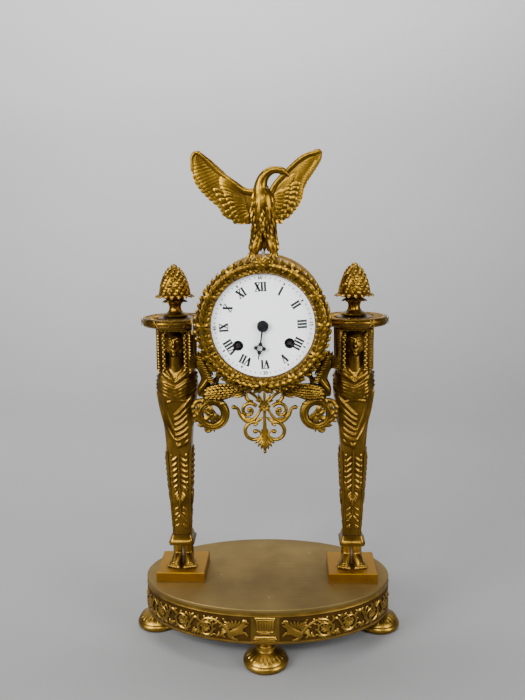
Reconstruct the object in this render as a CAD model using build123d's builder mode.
"""Gilt-bronze portico mantel clock: an oval base on four bun feet, two terminal figures carrying
capital discs and pine-cone finials, and a drum clock slung between them with a bird on top.

Frame: +X to the viewer's right, +Y to the back, +Z up, origin on the table under the centre of
the base. All lengths are in millimetres.
"""

from build123d import *
from math import acos, atan2, cos, degrees, hypot, pi, radians, sin, sqrt, tan
import os

os.makedirs("parts", exist_ok=True)

# ---------------------------------------------------------------- driving dimensions
# base
BASE_A, BASE_B = 110.0, 67.0            # half axes of the oval
BASE_BOTTOM, BASE_TOP = 21.0, 52.0
WALL = 3.0
TOP_PLATE = 2.5
FOOT_X, FOOT_Y = 101.7, 60.0            # centres of the bun feet
FOOT_R = 19.2
UNDERFRAME_T, UNDERFRAME_W = 3.0, 15.0
STUD_R = 3.0
FRIEZE_T = 1.6                          # relief of the applied mounts
FRIEZE_Z0, FRIEZE_Z1 = 23.5, 45.0

# columns
COLUMN_X = 76.6
PLINTH_W, PLINTH_H = 43.0, 9.0
ANKLE_TOP, BLOCK_TOP = 81.4, 90.6       # square moulding over the ankles
CAPITAL_Z0, CAPITAL_Z1 = 280.7, 288.7
CAPITAL_R = 28.8
FINIAL_TOP = 333.2
ROD_R, ROD_BORE = 2.0, 2.05

# drum
DRUM_Z = 284.7
DRUM_R, DRUM_WALL = 52.0, 2.0
DRUM_FRONT, DRUM_BACK = -36.0, 37.0     # ends of the tube along Y
FRONT_RING_T, REAR_RING_T = 2.0, 4.0
RING_HOLE_R = 44.5
WREATH_R, WREATH_HOLE_R = 55.0, 41.5
WREATH_BACK, WREATH_FRONT = -38.3, -47.8
LIP_T, REAR_HOLE_R = 1.6, 45.5
HINGE_X, HINGE_R, PIN_R = 56.6, 1.8, 0.8
HINGE_FRONT_Y, HINGE_BACK_Y = -38.0, 42.4
SCREW_R, SCREW_BORE = 1.5, 1.55
BIRD_Y = -4.0
RUNNING = 0.06                          # radial clearance of a turning fit

# dial, hands and movement
TURN = 2.5                              # the movement sits turned in its drum, in degrees
DIAL_R, DIAL_T = 44.3, 1.5
CENTRE_HOLE_R, KEY_HOLE_R = 3.2, 4.2
KEY_X, KEY_Z = 20.9, -15.1              # winding arbors from the centre
HAND_ANGLE = 190.5                      # past XII, both hands
HOUR_Y, MINUTE_Y, HAND_T = -38.6, -39.9, 0.6
PLATE_R, PLATE_T = 40.0, 2.0
FRONT_PLATE_Y, BACK_PLATE_Y = -29.0, -7.0   # inner faces of the plates
PILLAR_REACH, PILLAR_TURNS = 36.5, (30, 150, 250, 290)
ARBOR_R = 1.0
CENTRE_ARBOR_R = 1.2

# gear train, all arbors seen from the front, from the dial centre
MOTION_M, HOUR_M, INTER_M, TRAIN_M = 0.6, 0.48, 0.4, 0.45
CANNON_N, MINUTE_WHEEL_N, MINUTE_PINION_N, HOUR_N = 12, 36, 12, 48
PINION_N, CENTRE_N, THIRD_N, INTER_N, BARREL_N, STRIKE_N = 12, 48, 36, 60, 60, 54
ESCAPE_R, ESCAPE_TEETH, PALLET_GAP = 8.5, 24, 0.95
ANCHOR_ABOVE_ESCAPE = 11.0

# pendulum, bell and hammer
PENDULUM_Y, BOB_R, BOB_DROP = 1.0, 11.0, 61.0
BELL_R, BELL_Y0, BELL_Y1 = 24.0, 11.0, 24.0
STAND_U = 29.0
HAMMER_AT = (-26.8, 25.5)
HAMMER_DROP = 21.5


# ---------------------------------------------------------------- planes and helpers
def front_plane(y, at=(0.0, 0.0)):
    """A plane across the drum at depth y, seen from the front, turned with the movement."""
    c, s = cos(radians(TURN)), sin(radians(TURN))
    origin = (at[0] * c - at[1] * s, y, DRUM_Z + at[0] * s + at[1] * c)
    return Plane(origin=origin, x_dir=(c, 0, s), z_dir=(0, -1, 0))


def hanging_plane(y, at=(0.0, 0.0)):
    """As front_plane, but square to the table, for what hangs by its own weight."""
    turned = front_plane(y, at)
    return Plane(origin=turned.origin, x_dir=(1, 0, 0), z_dir=(0, -1, 0))


def upright_plane(x, y=0.0):
    """An XZ plane through (x, y), for outlines turned about a vertical line or cut from the front."""
    return Plane(origin=(x, y, 0), x_dir=(1, 0, 0), z_dir=(0, -1, 0))


def disc(radius, y_back, y_front, at=(0.0, 0.0), hole=0.0):
    """A turned disc or tube on an axis along Y."""
    with BuildPart() as made:
        with BuildSketch(front_plane(y_back, at)):
            Circle(radius)
            if hole:
                Circle(hole, mode=Mode.SUBTRACT)
        extrude(amount=y_back - y_front)
    return made.part


def gear_points(teeth, module, phase):
    """Outline of a stub-tooth involute wheel, tooth 0 centred on the angle phase, in degrees."""
    pressure, backlash = radians(25), 0.14 * module
    pitch = teeth * module / 2
    base, tip, root = pitch * cos(pressure), pitch + 0.8 * module, pitch - 1.05 * module

    def involute(a):
        return tan(a) - a

    def half_angle(r):
        at = acos(min(1.0, base / max(r, base)))
        return pi / (2 * teeth) - backlash / (2 * pitch) + involute(pressure) - involute(at)

    start = max(root, base)
    radii = [start, (start + tip) / 2, tip]
    flank = [(root, half_angle(start))] if root < base else []
    flank += [(r, half_angle(r)) for r in radii]
    points = []
    for tooth in range(teeth):
        middle = radians(phase) + 2 * pi * tooth / teeth
        for r, half in flank:
            points.append((r * cos(middle - half), r * sin(middle - half)))
        for r, half in reversed(flank):
            points.append((r * cos(middle + half), r * sin(middle + half)))
    return points


def toothed(teeth, module, phase, y_back, y_front, at, bore=0.0, windows=0):
    """A toothed wheel, crossed out with round windows where it is large."""
    pitch = teeth * module / 2
    with BuildPart() as made:
        with BuildSketch(front_plane(y_back, at)):
            with BuildLine():
                Polyline(*gear_points(teeth, module, phase), close=True)
            make_face()
            if windows:
                with PolarLocations(pitch * 0.56, windows):
                    Circle(pitch * 0.26, mode=Mode.SUBTRACT)
            if bore:
                Circle(bore, mode=Mode.SUBTRACT)
        extrude(amount=y_back - y_front)
    return made.part


def angle_to(a, b):
    """Direction from arbor a to arbor b, in degrees."""
    return degrees(atan2(b[1] - a[1], b[0] - a[0]))


def distance(a, b):
    return hypot(b[0] - a[0], b[1] - a[1])


def meeting_point(a, b, from_a, from_b, side):
    """The arbor at distance from_a of a and from_b of b, to the left of a-b when side is 1."""
    span = distance(a, b)
    along = (from_a**2 - from_b**2 + span**2) / (2 * span)
    away = side * sqrt(from_a**2 - along**2)
    ux, uy = (b[0] - a[0]) / span, (b[1] - a[1]) / span
    return (a[0] + along * ux - away * uy, a[1] + along * uy + away * ux)


def joined(*pieces):
    """One piece made of several that share faces or run through each other."""
    whole = pieces[0]
    for piece in pieces[1:]:
        whole = whole + piece
    return whole


def save(shape, name):
    shape.label = name
    export_step(shape, f"parts/{name}.step")


SIDES = {"left": -1, "right": 1}


# ---------------------------------------------------------------- base
def make_base():
    with BuildPart() as base_band:
        with BuildSketch(Plane.XY.offset(BASE_BOTTOM)):
            Ellipse(BASE_A, BASE_B)
            Ellipse(BASE_A - WALL, BASE_B - WALL, mode=Mode.SUBTRACT)
        extrude(amount=BASE_TOP - TOP_PLATE - BASE_BOTTOM)
    save(base_band.part, "base_band")

    with BuildPart() as base_top_plate:
        with BuildSketch(Plane.XY.offset(BASE_TOP - TOP_PLATE)):
            Ellipse(BASE_A, BASE_B)
            with Locations((-COLUMN_X, 0), (COLUMN_X, 0)):
                Circle(ROD_BORE, mode=Mode.SUBTRACT)
        extrude(amount=TOP_PLATE)
        chamfer(base_top_plate.edges().group_by(Axis.Z)[-1].sort_by(SortBy.LENGTH)[-1], 0.5)
    save(base_top_plate.part, "base_top_plate")

    with BuildPart() as base_underframe:
        with BuildSketch(Plane.XY.offset(BASE_BOTTOM)):
            Ellipse(BASE_A - WALL, BASE_B - WALL)
            Ellipse(BASE_A - WALL - UNDERFRAME_W, BASE_B - WALL - UNDERFRAME_W, mode=Mode.SUBTRACT)
            with Locations((FOOT_X, 0), (-FOOT_X, 0), (0, FOOT_Y), (0, -FOOT_Y)):
                Circle(STUD_R + 0.05, mode=Mode.SUBTRACT)
        extrude(amount=UNDERFRAME_T)
    save(base_underframe.part, "base_underframe")


def make_foot(x, y):
    """A bun foot with a turned neck and the threaded stud that holds it to the underframe."""
    with BuildPart() as foot:
        with BuildSketch(upright_plane(x, y)):
            with BuildLine():
                Line((0, 0), (FOOT_R - 1.4, 0))
                ThreePointArc((FOOT_R - 1.4, 0), (FOOT_R, 3.4), (FOOT_R - 1.6, 7.2))
                ThreePointArc((FOOT_R - 1.6, 7.2), (13.6, 11.6), (7.4, 13.2))
                Line((7.4, 13.2), (7.0, 14.2))
                ThreePointArc((7.0, 14.2), (8.3, 16.0), (7.0, 17.8))
                Line((7.0, 17.8), (6.2, 18.6))
                Line((6.2, 18.6), (6.2, BASE_BOTTOM))
                Line((6.2, BASE_BOTTOM), (STUD_R, BASE_BOTTOM))
                Line((STUD_R, BASE_BOTTOM), (STUD_R, BASE_BOTTOM + UNDERFRAME_T + 2.5))
                Line((STUD_R, BASE_BOTTOM + UNDERFRAME_T + 2.5), (0, BASE_BOTTOM + UNDERFRAME_T + 2.5))
                Line((0, BASE_BOTTOM + UNDERFRAME_T + 2.5), (0, 0))
            make_face()
        revolve(axis=Axis((x, y, 0), (0, 0, 1)))
    return foot.part


def make_nut(x, y, z, across=7.0, thick=2.4, bore=ROD_R):
    with BuildPart() as nut:
        with BuildSketch(Plane.XY.offset(z)):
            with Locations((x, y)):
                RegularPolygon(across / 2, 6, major_radius=False)
                Circle(bore, mode=Mode.SUBTRACT)
        extrude(amount=thick)
    return nut.part


def make_frieze(x0, x1, z0, z1):
    """A stretch of applied relief that follows the front of the oval band."""
    with BuildPart() as mount:
        with BuildSketch(Plane.XY.offset(z0)):
            Ellipse(BASE_A + FRIEZE_T, BASE_B + FRIEZE_T)
            Ellipse(BASE_A, BASE_B, mode=Mode.SUBTRACT)
            with Locations(((x0 + x1) / 2, -BASE_B / 2)):
                Rectangle(x1 - x0, BASE_B + 2 * FRIEZE_T, mode=Mode.INTERSECT)
        extrude(amount=z1 - z0)
    return mount.part


# ---------------------------------------------------------------- columns
def make_plinth(x):
    with BuildPart() as plinth:
        with BuildSketch(Plane.XY.offset(BASE_TOP)):
            with Locations((x, 0)):
                Rectangle(PLINTH_W, PLINTH_W)
                Circle(ROD_BORE, mode=Mode.SUBTRACT)
        extrude(amount=PLINTH_H)
        chamfer(plinth.edges().group_by(Axis.Z)[-1].filter_by(GeomType.LINE), 0.6)
    return plinth.part


def make_ankles(x):
    """Two bare feet side by side under a square moulding, cast in one piece round the tie rod."""
    foot_z = BASE_TOP + PLINTH_H
    with BuildPart() as ankles:
        for side in (-1, 1):
            with BuildSketch(Plane(origin=(x + side * 4.3, 1.5, foot_z), z_dir=(0, 0, 1))):
                Ellipse(5.6, 7.6)
            with BuildSketch(Plane(origin=(x + side * 4.0, 0.5, foot_z + 8), z_dir=(0, 0, 1))):
                Ellipse(4.3, 5.2)
            loft()
            with BuildSketch(Plane(origin=(x + side * 4.0, 0.5, foot_z + 8), z_dir=(0, 0, 1))):
                Ellipse(4.3, 5.2)
            extrude(amount=ANKLE_TOP - foot_z - 8)
            with BuildSketch(Plane(origin=(x + side * 6.4, -4.5, foot_z), z_dir=(0, 0, 1))):
                Ellipse(6.4, 11.0)
            extrude(amount=3.6)
        with BuildSketch(Plane.XY.offset(ANKLE_TOP)):
            with Locations((x, 0)):
                Rectangle(22, 22)
        with BuildSketch(Plane.XY.offset(ANKLE_TOP + 4)):
            with Locations((x, 0)):
                Rectangle(27, 27)
        loft(ruled=True)
        with BuildSketch(Plane.XY.offset(ANKLE_TOP + 4)):
            with Locations((x, 0)):
                Rectangle(27, 27)
        with BuildSketch(Plane.XY.offset(BLOCK_TOP)):
            with Locations((x, 0)):
                Rectangle(19, 19)
        loft(ruled=True)
        with BuildSketch(Plane.XY.offset(foot_z)):
            with Locations((x, 0)):
                Circle(ROD_BORE)
        extrude(amount=BLOCK_TOP - foot_z, mode=Mode.SUBTRACT)
    return ankles.part


# (height, width, depth) of the terminal figure, from its foot to under the capital disc
FIGURE_SECTIONS = (
    (BLOCK_TOP, 14.6, 14.0),
    (182.0, 23.6, 20.0),
    (208.0, 29.5, 24.0),
    (224.0, 36.0, 28.0),
    (238.0, 35.0, 28.0),
    (244.0, 32.6, 28.0),
    (CAPITAL_Z0, 32.6, 28.0),
)


def make_figure(x):
    """The tapering shaft, the draped bust and the head in its cloth, under the capital disc."""
    with BuildPart() as figure:
        for (z0, w0, d0), (z1, w1, d1) in zip(FIGURE_SECTIONS, FIGURE_SECTIONS[1:]):
            for z, w, d in ((z0, w0, d0), (z1, w1, d1)):
                with BuildSketch(Plane.XY.offset(z)):
                    with Locations((x, 0)):
                        RectangleRounded(w, d, 2.5)
            loft(ruled=True)
        with BuildSketch(Plane(origin=(x, -8.5, 238), x_dir=(1, 0, 0), z_dir=(0, -1, 0))):
            with Locations((0, 20)):
                Rectangle(19.5, 40)
        extrude(amount=12, mode=Mode.SUBTRACT)
        with Locations((x, -7.5, 266)):
            Sphere(10.4)
        with Locations((x, -5.5, 250)):
            Cylinder(6.5, 26)
        with BuildSketch(Plane.XY.offset(BLOCK_TOP)):
            with Locations((x, 0)):
                Circle(ROD_BORE)
        extrude(amount=CAPITAL_Z0 - BLOCK_TOP, mode=Mode.SUBTRACT)
    return figure.part


# the two rounded reeds of the capital's edge: start, crest and end as (inset, rise)
REEDS = (((2.4, 1.2), (1.0, 2.6), (1.6, 4.0)), ((1.6, 4.0), (0.2, 5.2), (0.8, 6.4)))


def make_capital(x):
    """A reeded disc, hollowed at its inner side to seat the drum."""
    z0, z1 = CAPITAL_Z0, CAPITAL_Z1
    with BuildPart() as capital:
        with BuildSketch(upright_plane(x)):
            with BuildLine():
                Polyline((0, z0), (CAPITAL_R - 3.2, z0), (CAPITAL_R - 2.4, z0 + 1.2))
                for start, crest, end in REEDS:
                    ThreePointArc(*((CAPITAL_R - inset, z0 + rise) for inset, rise in (start, crest, end)))
                Polyline(
                    (CAPITAL_R - 0.8, z0 + 6.4), (CAPITAL_R, z1 - 0.9), (CAPITAL_R - 0.8, z1), (0, z1), (0, z0),
                )
            make_face()
        revolve(axis=Axis((x, 0, 0), (0, 0, 1)))
        with BuildSketch(Plane.XY.offset(z0)):
            with Locations((x, 0)):
                Circle(ROD_BORE)
        extrude(amount=z1 - z0, mode=Mode.SUBTRACT)
        with BuildSketch(upright_plane(0, CAPITAL_R + 1)):
            with Locations((0, DRUM_Z)):
                Circle(DRUM_R)
        extrude(amount=2 * CAPITAL_R + 2, mode=Mode.SUBTRACT)
        inward = 1 if x < 0 else -1
        with BuildSketch(Plane(origin=(inward * -46.0, 0, DRUM_Z), x_dir=(0, 1, 0), z_dir=(-inward, 0, 0))):
            Circle(1.55)
        extrude(amount=16, mode=Mode.SUBTRACT)
    return capital.part


def make_finial(x):
    """Pine cone in a leaf cup on a waisted stem."""
    z = CAPITAL_Z1
    with BuildPart() as finial:
        with BuildSketch(upright_plane(x)):
            with BuildLine():
                Line((0, z), (7.8, z))
                Line((7.8, z), (7.8, z + 1.6))
                ThreePointArc((7.8, z + 1.6), (5.4, z + 4.4), (5.2, z + 8.2))
                ThreePointArc((5.2, z + 8.2), (8.4, z + 13.2), (15.0, z + 16.6))
                ThreePointArc((15.0, z + 16.6), (16.2, z + 18.4), (14.4, z + 19.6))
                Line((14.4, z + 19.6), (12.0, z + 19.8))
                Spline((12.0, z + 19.8), (11.4, z + 26.5), (8.6, z + 36.0), (3.6, z + 42.6), (0, FINIAL_TOP))
                Line((0, FINIAL_TOP), (0, z))
            make_face()
        revolve(axis=Axis((x, 0, 0), (0, 0, 1)))
        with BuildSketch(Plane.XY.offset(z)):
            with Locations((x, 0)):
                Circle(ROD_BORE)
        extrude(amount=11, mode=Mode.SUBTRACT)
    return finial.part


def make_rod(x):
    with BuildPart() as rod:
        with BuildSketch(Plane.XY.offset(BASE_TOP - TOP_PLATE - 6)):
            with Locations((x, 0)):
                Circle(ROD_R)
        extrude(amount=CAPITAL_Z1 + 10.5 - (BASE_TOP - TOP_PLATE - 6))
    return rod.part


# ---------------------------------------------------------------- drum, bezel and back door
def make_knuckles(x, y, tab_x, tab_y, tab_w, tab_t):
    """Two fixed hinge knuckles with the tabs that join them to their ring."""
    knuckles = []
    for low in (-6.2, 2.9):
        with BuildPart() as knuckle:
            with BuildSketch(Plane.XY.offset(DRUM_Z + low)):
                with Locations((x, y)):
                    Circle(HINGE_R)
                with Locations((tab_x, tab_y)):
                    Rectangle(tab_w, tab_t)
                with Locations((x, y)):
                    Circle(PIN_R, mode=Mode.SUBTRACT)
            extrude(amount=3.3)
        knuckles.append(knuckle.part)
    return knuckles


def make_pin(x, y):
    with BuildPart() as pin:
        with BuildSketch(Plane.XY.offset(DRUM_Z - 6.6)):
            with Locations((x, y)):
                Circle(PIN_R)
        extrude(amount=13.2)
    return pin.part


def make_drum():
    with BuildPart() as drum_case:
        add(disc(DRUM_R, DRUM_BACK, DRUM_FRONT, hole=DRUM_R - DRUM_WALL))
        with BuildSketch(Plane(origin=(-60, 0, DRUM_Z), x_dir=(0, 1, 0), z_dir=(1, 0, 0))):
            Circle(SCREW_BORE)
        extrude(amount=120, mode=Mode.SUBTRACT)
        with BuildSketch(Plane.XY.offset(DRUM_Z + 40)):
            with Locations((0, BIRD_Y)):
                Circle(SCREW_BORE)
        extrude(amount=20, mode=Mode.SUBTRACT)
    save(drum_case.part, "drum_case")

    front_ring = disc(DRUM_R, DRUM_FRONT, DRUM_FRONT - FRONT_RING_T, hole=RING_HOLE_R)
    lip = disc(DRUM_R - DRUM_WALL, DRUM_FRONT + LIP_T, DRUM_FRONT, hole=RING_HOLE_R - 2.0)
    save(joined(front_ring, lip, *make_knuckles(-HINGE_X, HINGE_FRONT_Y, -HINGE_X + 2.6, -37.0, 5.2, 1.4)),
         "front_ring")

    rear_ring = disc(54.6, DRUM_BACK + REAR_RING_T, DRUM_BACK, hole=REAR_HOLE_R)
    save(joined(rear_ring, *make_knuckles(HINGE_X, HINGE_BACK_Y, HINGE_X - 1.6, 40.3, 3.6, 1.4)), "rear_ring")

    pins = [make_pin(-HINGE_X, HINGE_FRONT_Y), make_pin(HINGE_X, HINGE_BACK_Y)]
    save(Compound(children=pins), "hinge_pins")

    screws = []
    for side in (-1, 1):
        with BuildPart() as screw:
            with BuildSketch(Plane(origin=(side * 47.6, 0, DRUM_Z), x_dir=(0, 1, 0), z_dir=(side, 0, 0))):
                Circle(3.0)
            extrude(amount=2.2)
            with BuildSketch(Plane(origin=(side * 47.6, 0, DRUM_Z), x_dir=(0, 1, 0), z_dir=(side, 0, 0))):
                Circle(SCREW_R)
            extrude(amount=12.4)
        screws.append(screw.part)
    with BuildPart() as bird_screw:
        with BuildSketch(Plane.XY.offset(DRUM_Z + 47.4)):
            with Locations((0, BIRD_Y)):
                Circle(3.0)
        extrude(amount=2.2)
        with BuildSketch(Plane.XY.offset(DRUM_Z + 47.4)):
            with Locations((0, BIRD_Y)):
                Circle(SCREW_R)
        extrude(amount=11.0)
    save(Compound(children=[*screws, bird_screw.part]), "drum_screws")


def make_bezel():
    """Cast wreath ring with its hinge knuckle: the hinged door over the dial."""
    with BuildPart() as wreath:
        with BuildSketch(Plane(origin=(0, 0, DRUM_Z), x_dir=(1, 0, 0), z_dir=(0, 0, 1))):
            with BuildLine():
                Line((WREATH_HOLE_R, -39.4), (WREATH_HOLE_R, -41.0))
                ThreePointArc((WREATH_HOLE_R, -41.0), (43.4, -44.6), (46.0, -46.4))
                ThreePointArc((46.0, -46.4), (50.2, WREATH_FRONT), (54.0, -45.0))
                ThreePointArc((54.0, -45.0), (WREATH_R, -42.4), (54.6, WREATH_BACK))
                Line((54.6, WREATH_BACK), (44.6, WREATH_BACK))
                Line((44.6, WREATH_BACK), (WREATH_HOLE_R, -39.4))
            make_face()
        revolve(axis=Axis((0, 0, DRUM_Z), (0, 1, 0)))
    with BuildPart() as knuckle:
        with BuildSketch(Plane.XY.offset(DRUM_Z - 2.7)):
            with Locations((-HINGE_X, HINGE_FRONT_Y)):
                Circle(HINGE_R)
            with Locations((-HINGE_X + 1.4, -39.4)):
                Rectangle(2.8, 1.6)
            with Locations((-HINGE_X, HINGE_FRONT_Y)):
                Circle(PIN_R + RUNNING, mode=Mode.SUBTRACT)
        extrude(amount=5.4)
    save(joined(wreath.part, knuckle.part), "bezel_wreath")


def make_glass():
    """Domed glass of even thickness, sprung into the bore of the wreath."""
    edge, crown, thick, flat = WREATH_HOLE_R - 0.05, 2.6, 0.9, 1.0
    seat = -39.6
    with BuildPart() as glass:
        with BuildSketch(Plane(origin=(0, 0, DRUM_Z), x_dir=(1, 0, 0), z_dir=(0, 0, 1))):
            with BuildLine():
                Line((0, seat - crown), (0, seat - crown - thick))
                Line((0, seat - crown - thick), (flat, seat - crown - thick))
                ThreePointArc((flat, seat - crown - thick), (edge * 0.5, seat - crown * 0.76 - thick),
                              (edge, seat - thick))
                Line((edge, seat - thick), (edge, seat))
                ThreePointArc((edge, seat), (edge * 0.5, seat - crown * 0.76), (flat, seat - crown))
                Line((flat, seat - crown), (0, seat - crown))
            make_face()
        revolve(axis=Axis((0, 0, DRUM_Z), (0, 1, 0)))
    return glass.part


def make_back_door():
    """Round back door with sound holes, a hinge knuckle at the side and a turned knob."""
    door_y, door_t = DRUM_BACK + REAR_RING_T + 0.4, 1.6
    with BuildPart() as door:
        with BuildSketch(upright_plane(0, door_y + door_t)):
            with Locations((0, DRUM_Z)):
                Circle(52.5)
                with PolarLocations(30, 12):
                    Circle(3.0, mode=Mode.SUBTRACT)
                with PolarLocations(18, 6, 30):
                    Circle(3.0, mode=Mode.SUBTRACT)
        extrude(amount=door_t)
        with BuildSketch(Plane.XY.offset(DRUM_Z - 2.7)):
            with Locations((HINGE_X, HINGE_BACK_Y)):
                Circle(HINGE_R)
            with Locations((HINGE_X - 2.9, door_y + door_t / 2)):
                Rectangle(5.8, door_t)
        extrude(amount=5.4)
        with BuildSketch(Plane.XY.offset(DRUM_Z - 3)):
            with Locations((HINGE_X, HINGE_BACK_Y)):
                Circle(PIN_R + RUNNING)
        extrude(amount=6, mode=Mode.SUBTRACT)
        with BuildSketch(upright_plane(-44, door_y + door_t + 4.4)):
            with Locations((0, DRUM_Z)):
                Circle(3.4)
        extrude(amount=3.0)
        with BuildSketch(upright_plane(-44, door_y + door_t + 1.4)):
            with Locations((0, DRUM_Z)):
                Circle(1.8)
        extrude(amount=1.4)
    save(door.part, "back_door")


# ---------------------------------------------------------------- dial and hands
def make_dial():
    with BuildPart() as dial:
        with BuildSketch(front_plane(DRUM_FRONT)):
            Circle(DIAL_R)
            Circle(CENTRE_HOLE_R, mode=Mode.SUBTRACT)
            with Locations((-KEY_X, KEY_Z), (KEY_X, KEY_Z)):
                Circle(KEY_HOLE_R, mode=Mode.SUBTRACT)
        extrude(amount=DIAL_T)
    save(dial.part, "dial")

    grommets = [
        disc(KEY_HOLE_R, DRUM_FRONT, DRUM_FRONT - DIAL_T - 0.3, (side * KEY_X, KEY_Z), hole=KEY_HOLE_R - 0.7)
        for side in (-1, 1)
    ]
    save(Compound(children=grommets), "key_hole_grommets")


def make_hand(y, cross_at, lobe, tip, boss, bore):
    """A round boss, a thin stem, an open cross of four lozenges and a slender tip."""
    angle = 90 - HAND_ANGLE
    with BuildPart() as hand:
        with BuildSketch(front_plane(y)):
            with Locations(Location((0, 0, 0), (0, 0, angle))):
                Circle(boss)
                with Locations((cross_at / 2 - 1.2, 0)):
                    Rectangle(cross_at - 3.0, 1.0)
                for place in ((-3.2, 0), (0, 3.2), (0, -3.2), (3.2, 0)):
                    with Locations((cross_at + place[0], place[1])):
                        Rectangle(lobe, lobe, rotation=45)
                with Locations((cross_at, 0)):
                    Rectangle(5.6, 5.6, rotation=45)
                    Rectangle(3.2, 3.2, rotation=45, mode=Mode.SUBTRACT)
                with Locations(((cross_at + 3 + tip) / 2, 0)):
                    Rectangle(tip - cross_at - 3, 0.9)
                Circle(bore, mode=Mode.SUBTRACT)
        extrude(amount=HAND_T)
    return hand.part


# ---------------------------------------------------------------- movement
BARREL_AT = {"left": (-KEY_X, KEY_Z), "right": (KEY_X, KEY_Z)}
INTER_AT = meeting_point(
    (0, 0), BARREL_AT["right"],
    INTER_M * (INTER_N + PINION_N) / 2, TRAIN_M * (BARREL_N + PINION_N) / 2, 1,
)
STRIKE_AT = (-INTER_AT[0], INTER_AT[1])
THIRD_AT = (0.0, TRAIN_M * (CENTRE_N + PINION_N) / 2)
ESCAPE_AT = (0.0, THIRD_AT[1] + TRAIN_M * (THIRD_N + PINION_N) / 2)
ANCHOR_AT = (0.0, ESCAPE_AT[1] + ANCHOR_ABOVE_ESCAPE)
MINUTE_WHEEL_AT = (0.0, MOTION_M * (CANNON_N + MINUTE_WHEEL_N) / 2)
FRONT_FACE = FRONT_PLATE_Y - PLATE_T       # outer face of the front plate
BACK_FACE = BACK_PLATE_Y + PLATE_T         # outer face of the back plate


def gap_phase(teeth, towards):
    """Phase that puts a gap, not a tooth, on the line of centres."""
    return towards + 180.0 / teeth


def make_plates():
    with BuildPart() as front_plate:
        with BuildSketch(front_plane(FRONT_PLATE_Y)):
            Circle(PLATE_R)
            Circle(CENTRE_ARBOR_R + RUNNING, mode=Mode.SUBTRACT)
            with Locations(*BARREL_AT.values()):
                Circle(2.5 + RUNNING, mode=Mode.SUBTRACT)
        extrude(amount=PLATE_T)
        for side, at in BARREL_AT.items():
            outward = 1 if side == "right" else -1
            with BuildSketch(front_plane(FRONT_FACE, (at[0] + outward * 3.0, at[1] - 10.6))):
                Rectangle(7.0, 2.2)
                with Locations((outward * 2.4, -1.0)):
                    Circle(1.9)
            extrude(amount=1.3)
    save(front_plate.part, "movement_front_plate")

    with BuildPart() as back_plate:
        with BuildSketch(front_plane(BACK_FACE)):
            Circle(PLATE_R)
            with Locations(STRIKE_AT, ANCHOR_AT):
                Circle(ARBOR_R + RUNNING, mode=Mode.SUBTRACT)
        extrude(amount=PLATE_T)
        with BuildSketch(front_plane(BACK_PLATE_Y)):
            for turn in PILLAR_TURNS:
                with Locations((PILLAR_REACH * cos(radians(turn)), PILLAR_REACH * sin(radians(turn)))):
                    Circle(2.2)
        extrude(amount=BACK_PLATE_Y - FRONT_PLATE_Y)
    save(back_plate.part, "movement_back_plate")

    lip_back = DRUM_FRONT + LIP_T
    straps = []
    for turn in (135, -45):
        at = (47.0 * cos(radians(turn)), 47.0 * sin(radians(turn)))
        straps.append(disc(1.4, DRUM_BACK, lip_back, at))
    for turn in (90, 210, 330):
        with BuildPart() as dog:
            with BuildSketch(front_plane(FRONT_PLATE_Y)):
                with Locations(Location((0, 0, 0), (0, 0, turn))):
                    with Locations((43.0, 0)):
                        Rectangle(9.0, 6.0)
                Circle(PLATE_R + 0.02, mode=Mode.SUBTRACT)
            extrude(amount=FRONT_PLATE_Y - lip_back)
        straps.append(dog.part)
    save(Compound(children=straps), "movement_straps")


def make_motion_work():
    centre = (0.0, 0.0)
    to_minute_wheel = angle_to(centre, MINUTE_WHEEL_AT)
    back_again = to_minute_wheel + 180
    to_inter = angle_to(centre, INTER_AT)
    to_third = angle_to(centre, THIRD_AT)

    arbor = disc(CENTRE_ARBOR_R, BACK_PLATE_Y - 0.1, -41.2, centre)
    pipe = disc(1.75, -31.6, -40.6, centre)
    cannon = toothed(CANNON_N, MOTION_M, to_minute_wheel, -31.5, -33.6, centre)
    wheel = toothed(CENTRE_N, TRAIN_M, to_third, -23.5, -24.5, centre, windows=5)
    pinion = toothed(PINION_N, INTER_M, gap_phase(PINION_N, to_inter), -27.0, -28.4, centre)
    save(joined(arbor, pipe, cannon, wheel, pinion), "centre_arbor")

    save(
        joined(
            toothed(
                MINUTE_WHEEL_N, MOTION_M, gap_phase(MINUTE_WHEEL_N, back_again), -31.9, -33.1, MINUTE_WHEEL_AT,
                windows=5,
            ),
            toothed(MINUTE_PINION_N, HOUR_M, back_again, -33.1, -35.6, MINUTE_WHEEL_AT),
            disc(0.8, -31.1, -35.8, MINUTE_WHEEL_AT),
        ),
        "minute_wheel",
    )
    save(
        joined(
            toothed(
                HOUR_N, HOUR_M, gap_phase(HOUR_N, to_minute_wheel), -34.2, -35.5, centre,
                bore=1.75 + RUNNING, windows=5,
            ),
            disc(2.7, -34.2, -39.3, centre, hole=1.75 + RUNNING),
        ),
        "hour_wheel",
    )


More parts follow.
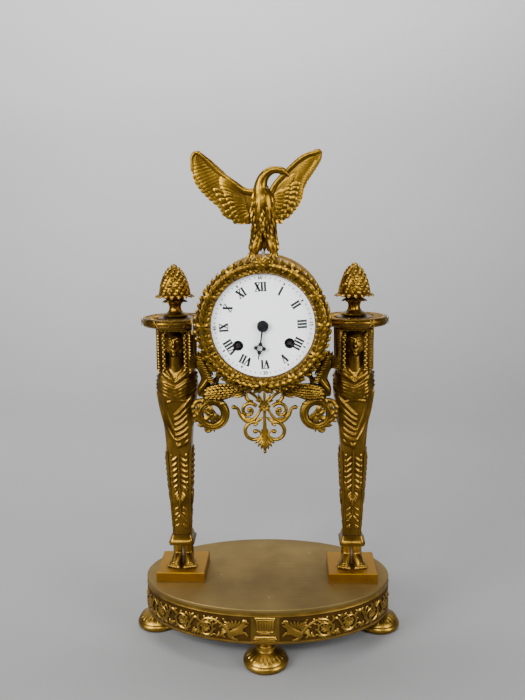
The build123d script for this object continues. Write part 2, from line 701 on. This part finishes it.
def make_going_train():
    centre = (0.0, 0.0)
    barrel_at = BARREL_AT["right"]
    to_barrel = angle_to(INTER_AT, barrel_at)
    save(
        joined(
            toothed(INTER_N, INTER_M, angle_to(INTER_AT, centre), -27.2, -28.2, INTER_AT, windows=5),
            toothed(PINION_N, TRAIN_M, gap_phase(PINION_N, to_barrel), -8.6, -12.4, INTER_AT),
            disc(ARBOR_R, BACK_PLATE_Y - 0.1, FRONT_PLATE_Y + 0.1, INTER_AT),
        ),
        "intermediate_wheel",
    )
    to_escape = angle_to(THIRD_AT, ESCAPE_AT)
    to_centre = angle_to(THIRD_AT, centre)
    save(
        joined(
            toothed(THIRD_N, TRAIN_M, to_escape, -20.5, -21.5, THIRD_AT, windows=4),
            toothed(PINION_N, TRAIN_M, gap_phase(PINION_N, to_centre), -23.0, -25.0, THIRD_AT),
            disc(ARBOR_R, BACK_PLATE_Y - 0.1, FRONT_PLATE_Y + 0.1, THIRD_AT),
        ),
        "third_wheel",
    )
    with BuildPart() as escape_teeth:
        with BuildSketch(front_plane(-16.0, ESCAPE_AT)):
            with BuildLine():
                outline = []
                for tooth in range(ESCAPE_TEETH):
                    start = 2 * pi * tooth / ESCAPE_TEETH
                    for share, r in ((0.0, ESCAPE_R), (0.18, ESCAPE_R - 1.6), (0.86, ESCAPE_R - 1.6)):
                        a = start + share * 2 * pi / ESCAPE_TEETH
                        outline.append((r * cos(a), r * sin(a)))
                Polyline(*outline, close=True)
            make_face()
        extrude(amount=1.0)
    save(
        joined(
            escape_teeth.part,
            toothed(PINION_N, TRAIN_M, gap_phase(PINION_N, to_escape + 180), -20.0, -22.0, ESCAPE_AT),
            disc(ARBOR_R, BACK_PLATE_Y - 0.1, FRONT_PLATE_Y + 0.1, ESCAPE_AT),
        ),
        "escape_wheel",
    )


def make_barrel(side, phase_towards):
    """Spring barrel that turns on its winding arbor."""
    at = BARREL_AT[side]
    barrel = disc(11.5, -9.5, -25.8, at, hole=2.0 + RUNNING)
    teeth = toothed(BARREL_N, TRAIN_M, angle_to(at, phase_towards), -9.5, -11.5, at, bore=2.0 + RUNNING)
    save(joined(barrel, teeth), "going_barrel" if side == "right" else "strike_barrel")

    with BuildPart() as arbor:
        add(disc(2.0, BACK_PLATE_Y - 0.1, FRONT_PLATE_Y, at))
        add(disc(2.5, FRONT_PLATE_Y + 2.6, FRONT_FACE - 0.2, at))
        with BuildSketch(front_plane(FRONT_FACE - 0.2, at)):
            ratchet = []
            for tooth in range(20):
                for share, r in ((0.0, 7.6), (0.92, 6.6)):
                    a = 2 * pi * (tooth + share) / 20
                    ratchet.append((r * cos(a), r * sin(a)))
            with BuildLine():
                Polyline(*ratchet, close=True)
            make_face()
        extrude(amount=1.2)
        with BuildSketch(front_plane(FRONT_FACE - 1.4, at)):
            Rectangle(3.4, 3.4)
        extrude(amount=5.2)
    save(arbor.part, "winding_arbor_going" if side == "right" else "winding_arbor_strike")


def make_strike_train():
    to_barrel = angle_to(STRIKE_AT, BARREL_AT["left"])
    save(
        joined(
            toothed(STRIKE_N, INTER_M, 0, -27.2, -28.2, STRIKE_AT, windows=5),
            toothed(PINION_N, TRAIN_M, gap_phase(PINION_N, to_barrel), -8.6, -12.4, STRIKE_AT),
            disc(ARBOR_R, BACK_FACE + 1.6, FRONT_PLATE_Y + 0.1, STRIKE_AT),
        ),
        "strike_wheel",
    )
    with BuildPart() as count_wheel:
        with BuildSketch(front_plane(BACK_FACE + 1.5, STRIKE_AT)):
            Circle(10.6)
            for hour in range(1, 13):
                turn = 360 * hour * (hour + 1) / 2 / 78
                with Locations(Location((0, 0, 0), (0, 0, turn))):
                    with Locations((10.4, 0)):
                        Rectangle(2.0, 0.9, mode=Mode.SUBTRACT)
            Circle(ARBOR_R, mode=Mode.SUBTRACT)
        extrude(amount=1.0)
    save(count_wheel.part, "count_wheel")


def make_escapement():
    """Anchor with its arbor and crutch, the suspension cock and the pendulum."""
    with BuildPart() as pallets:
        with BuildSketch(front_plane(-15.6, ANCHOR_AT)):
            with BuildLine():
                Polyline(
                    (-1.6, 2.0), (1.6, 2.0), (10.4, -5.2), (10.4, -9.6), (9.0, -9.6), (8.4, -5.8), (0, 0.8),
                    (-8.4, -5.8), (-9.0, -9.6), (-10.4, -9.6), (-10.4, -5.2), close=True,
                )
            make_face()
            with Locations((0, -ANCHOR_ABOVE_ESCAPE)):
                Circle(ESCAPE_R + PALLET_GAP, mode=Mode.SUBTRACT)
        extrude(amount=1.8)
    with BuildPart() as crutch:
        with BuildSketch(hanging_plane(BACK_FACE + 3.2, ANCHOR_AT)):
            with Locations((0, -8.5)):
                Rectangle(2.0, 19.0)
            with Locations((0, -17.0)):
                Rectangle(5.2, 2.2)
        extrude(amount=1.2)
        with BuildSketch(hanging_plane(BACK_FACE + 6.4, ANCHOR_AT)):
            with Locations((-2.0, -17.0), (2.0, -17.0)):
                Rectangle(1.2, 2.2)
        extrude(amount=4.4)
    arbor = disc(ARBOR_R, BACK_FACE + 3.2, FRONT_PLATE_Y + 0.1, ANCHOR_AT)
    save(joined(arbor, pallets.part, crutch.part), "pallet_anchor")

    with BuildPart() as cock:
        with BuildSketch(hanging_plane(BACK_FACE + 8.4, ANCHOR_AT)):
            with Locations((-6.5, 1.0), (6.5, 1.0)):
                Rectangle(4.0, 8.6)
            with Locations((0, 3.4)):
                Rectangle(17.0, 3.8)
            Circle(2.4, mode=Mode.SUBTRACT)
        extrude(amount=8.4)
    save(cock.part, "suspension_cock")

    with BuildPart() as rod:
        with BuildSketch(hanging_plane(PENDULUM_Y, ANCHOR_AT)):
            with Locations((0, -BOB_DROP / 2)):
                Rectangle(1.4, BOB_DROP)
            Circle(1.2)
        extrude(amount=1.0)
    with BuildPart() as bob:
        with BuildSketch(hanging_plane(PENDULUM_Y + 1.8, ANCHOR_AT)):
            with Locations((0, -BOB_DROP)):
                Circle(BOB_R)
        extrude(amount=4.6)
        chamfer(bob.edges().filter_by(GeomType.CIRCLE), 1.2)
    save(joined(rod.part, bob.part), "pendulum")


def make_bell():
    with BuildPart() as bell:
        with BuildSketch(Plane(origin=(0, 0, DRUM_Z), x_dir=(1, 0, 0), z_dir=(0, 0, 1))):
            with BuildLine():
                Line((1.5, BELL_Y1), (4.0, BELL_Y1))
                ThreePointArc((4.0, BELL_Y1), (17.0, BELL_Y1 - 3.4), (BELL_R - 0.6, BELL_Y0))
                Line((BELL_R - 0.6, BELL_Y0), (BELL_R - 2.4, BELL_Y0))
                ThreePointArc((BELL_R - 2.4, BELL_Y0), (15.8, BELL_Y1 - 4.8), (4.0, BELL_Y1 - 1.4))
                Line((4.0, BELL_Y1 - 1.4), (1.5, BELL_Y1 - 1.4))
                Line((1.5, BELL_Y1 - 1.4), (1.5, BELL_Y1))
            make_face()
        revolve(axis=Axis((0, 0, DRUM_Z), (0, 1, 0)))
    save(bell.part, "bell")

    post = disc(1.6, BELL_Y1 + 4.0, BACK_FACE, (STAND_U, 0))
    stud = disc(1.45, BELL_Y1 + 4.0, BELL_Y1 - 2.6, (0, 0))
    shoulder = disc(3.0, BELL_Y1 + 2.0, BELL_Y1, (0, 0))
    nut = disc(2.8, BELL_Y1 - 1.4, BELL_Y1 - 2.8, (0, 0))
    with BuildPart() as arm:
        with BuildSketch(front_plane(BELL_Y1 + 4.0)):
            with Locations((STAND_U / 2, 0)):
                Rectangle(STAND_U + 3.2, 4.0)
        extrude(amount=2.0)
    save(joined(post, arm.part, stud, shoulder, nut), "bell_stand")

    with BuildPart() as hammer:
        with BuildSketch(hanging_plane(BELL_Y0 + 3.6, HAMMER_AT)):
            with Locations((0, -HAMMER_DROP / 2)):
                Rectangle(1.8, HAMMER_DROP)
            Circle(1.8)
        extrude(amount=1.4)
        with BuildSketch(hanging_plane(BELL_Y0 + 4.6, HAMMER_AT)):
            with Locations((0, -HAMMER_DROP)):
                Circle(2.0)
        extrude(amount=5.6)
    arbor = disc(0.9, BELL_Y0 + 3.6, BACK_FACE + 0.1, HAMMER_AT)
    save(joined(hammer.part, arbor), "bell_hammer")


# ---------------------------------------------------------------- ornament
def make_griffin(side):
    """Winged beast on a scroll, tucked under the drum: head outward, feathers to the middle."""
    s = side
    with BuildPart() as beast:
        with BuildSketch(upright_plane(0, -16.0)):
            with Locations((s * 52.5, 251)):
                Circle(9.0)
            with BuildLine():
                Polyline(
                    (s * 60, 247), (s * 50, 236), (s * 57, 227), (s * 51, 213), (s * 38, 216), (s * 22, 226),
                    (s * 17, 229), (s * 17, 240), (s * 40, 252), close=True,
                )
            make_face()
            with Locations((s * 44.5, 207.5)):
                Ellipse(14.8, 12.4)
                Ellipse(10.4, 8.0, mode=Mode.SUBTRACT)
                Circle(4.0)
                Rectangle(2.6, 18, rotation=s * 35)
            with Locations((s * 48.0, 193.8)):
                Circle(3.6)
            with Locations((s * 46.5, 196.5)):
                Rectangle(4, 5)
        extrude(amount=15.0)
        with BuildSketch(upright_plane(0, -10.0)):
            with Locations((0, DRUM_Z)):
                Circle(DRUM_R)
        extrude(amount=30, mode=Mode.SUBTRACT)
    return beast.part


def make_pendant():
    """Openwork of scrolls and a palmette hanging under the drum."""
    with BuildPart() as pendant:
        with BuildSketch(upright_plane(0, -18.0)):
            for s in (-1, 1):
                with BuildLine():
                    Polyline(
                        (s * 8, 234.5), (s * 15.5, 236), (s * 15.5, 228), (s * 4, 214), (0, 214), (0, 218.5),
                        close=True,
                    )
                make_face()
                with Locations((s * 12.4, 209.6)):
                    Circle(9.4)
                    Circle(6.6, mode=Mode.SUBTRACT)
                    Circle(2.4)
                    with Locations((0, -4.4)):
                        Rectangle(2, 8.8)
                with Locations((s * 23.6, 211.4)):
                    Circle(2.9)
                with Locations((s * 8.8, 191.4)):
                    Circle(8.8)
                    Circle(6.4, mode=Mode.SUBTRACT)
            with Locations((0, 213.6)):
                Circle(5.0)
            with Locations((0, 200.5)):
                Rectangle(4, 26)
            with BuildLine():
                Polyline(
                    (-8, 186), (0, 190), (8, 186), (8.2, 179), (3, 174), (0, 171.2), (-3, 174), (-8.2, 179),
                    close=True,
                )
            make_face()
        extrude(amount=5.0)
        with BuildSketch(upright_plane(0, -10.0)):
            with Locations((0, DRUM_Z)):
                Circle(DRUM_R)
        extrude(amount=30, mode=Mode.SUBTRACT)
    return pendant.part


# rings (height, across, depth, radius) from tail to shoulders, from shoulders to crown, and of a leg
BIRD_TORSO = (
    (359, 1.0, 0.0, 2.5), (366, 1.0, 0.0, 6.6), (378, 1.0, 0.0, 8.8), (389, 1.0, 0.0, 6.6), (395, 1.0, 0.0, 3.6),
)
BIRD_NECK = ((388, -2.0, 0.0, 4.4), (402, -3.5, -1.0, 3.4), (412, 1.5, -1.5, 3.0))
BIRD_LEG = ((368, 4.5, 0.0, 3.8), (340.7, 7.5, 0.0, 3.0))


def ring_sketches(rings, mirror_x=1, centre=0.0):
    """One circular sketch per ring, ready to be lofted two by two."""
    sketches = []
    for z, across, deep, radius in rings:
        with BuildSketch(Plane(origin=(centre + mirror_x * across, BIRD_Y + deep, z))) as ring:
            Circle(radius)
        sketches.append(ring.sketch)
    return sketches


def make_bird():
    """The bird on top of the drum: body with neck, head and legs on a saddle, and its wings."""
    foot_z = DRUM_Z + DRUM_R
    chains = (ring_sketches(BIRD_TORSO), ring_sketches(BIRD_NECK),
              ring_sketches(BIRD_LEG, 1, 1.0), ring_sketches(BIRD_LEG, -1, 1.0))
    with BuildPart() as bird_body:
        for chain in chains:
            for low, high in zip(chain, chain[1:]):
                loft([low, high], ruled=True)
        with Locations((1.5, BIRD_Y - 1.5, 411.0)):
            Sphere(3.4)
        with BuildSketch(Plane(origin=(3.0, BIRD_Y - 1.5, 411.5), x_dir=(0, 1, 0), z_dir=(1, 0, -0.15))):
            Circle(3.0)
        extrude(amount=13.5)
        with Locations((16.5, BIRD_Y - 1.5, 409.5)):
            Sphere(4.4)
        with BuildSketch(Plane.XY.offset(foot_z - 2)):
            with Locations((2, BIRD_Y)):
                Rectangle(26, 20)
        extrude(amount=7.5)
        with BuildSketch(upright_plane(0, 20.0)):
            with Locations((0, DRUM_Z)):
                Circle(DRUM_R)
        extrude(amount=60, mode=Mode.SUBTRACT)
        with BuildSketch(Plane.XY.offset(DRUM_Z + 44)):
            with Locations((0, BIRD_Y)):
                Circle(SCREW_BORE)
        extrude(amount=15, mode=Mode.SUBTRACT)
    save(bird_body.part, "bird_body")

    with BuildPart() as left_wing:
        with BuildSketch(upright_plane(0, 0.0)):
            with BuildLine():
                Spline(
                    (-6.0, 386), (-20, 399), (-40, 415), (-50, 425.0), (-56, 425.0), (-59.5, 415), (-58, 402),
                    (-49, 391.5), (-36, 380.5), (-18, 366.5), (-7.0, 366),
                )
                Line((-7.0, 366), (-6.0, 386))
            make_face()
        extrude(amount=5.0)
    with BuildPart() as right_wing:
        with BuildSketch(upright_plane(0, 3.0)):
            with BuildLine():
                Spline(
                    (8.0, 386), (18, 398), (30, 414), (40, 421.5), (48.5, 425.0), (49.5, 419), (43.5, 407),
                    (36, 394), (28, 377), (15, 367), (9.0, 366),
                )
                Line((9.0, 366), (8.0, 386))
            make_face()
        extrude(amount=5.0)
    wings = [wing.part - bird_body.part for wing in (left_wing, right_wing)]
    save(Compound(children=wings), "bird_wings")


# ---------------------------------------------------------------- make everything
make_base()
for name, (x, y) in {
    "foot_front": (0, -FOOT_Y), "foot_back": (0, FOOT_Y), "foot_left": (-FOOT_X, 0), "foot_right": (FOOT_X, 0),
}.items():
    save(make_foot(x, y), name)

save(make_frieze(-106.0, -14.0, FRIEZE_Z0, FRIEZE_Z1), "frieze_left")
save(make_frieze(14.0, 106.0, FRIEZE_Z0, FRIEZE_Z1), "frieze_right")
save(make_frieze(-11.0, 11.0, BASE_BOTTOM + 1.0, FRIEZE_Z1 + 1.5), "frieze_vase")

for side, sign in SIDES.items():
    x = sign * COLUMN_X
    save(make_plinth(x), f"column_plinth_{side}")
    save(make_ankles(x), f"figure_feet_{side}")
    save(make_figure(x), f"figure_{side}")
    save(make_capital(x), f"capital_disc_{side}")
    save(make_finial(x), f"pinecone_{side}")
    save(make_griffin(sign), f"griffin_{side}")

save(Compound(children=[make_rod(sign * COLUMN_X) for sign in SIDES.values()]), "tie_rods")
nuts = [make_nut(sign * COLUMN_X, 0, BASE_TOP - TOP_PLATE - 2.4) for sign in SIDES.values()]
nuts += [
    make_nut(x, y, BASE_BOTTOM + UNDERFRAME_T, across=7.4, thick=2.2, bore=STUD_R)
    for x, y in ((FOOT_X, 0), (-FOOT_X, 0), (0, FOOT_Y), (0, -FOOT_Y))
]
save(Compound(children=nuts), "base_nuts")

save(make_pendant(), "pendant")
make_bird()
make_drum()
make_bezel()
save(make_glass(), "bezel_glass")
make_back_door()
make_dial()
save(make_hand(MINUTE_Y, 18.2, 2.5, 27.6, 4.8, 1.75), "minute_hand")
save(make_hand(HOUR_Y, 18.2, 2.3, 24.6, 4.6, 2.7), "hour_hand")
make_plates()
make_motion_work()
make_going_train()
make_barrel("right", INTER_AT)
make_barrel("left", STRIKE_AT)
make_strike_train()
make_escapement()
make_bell()
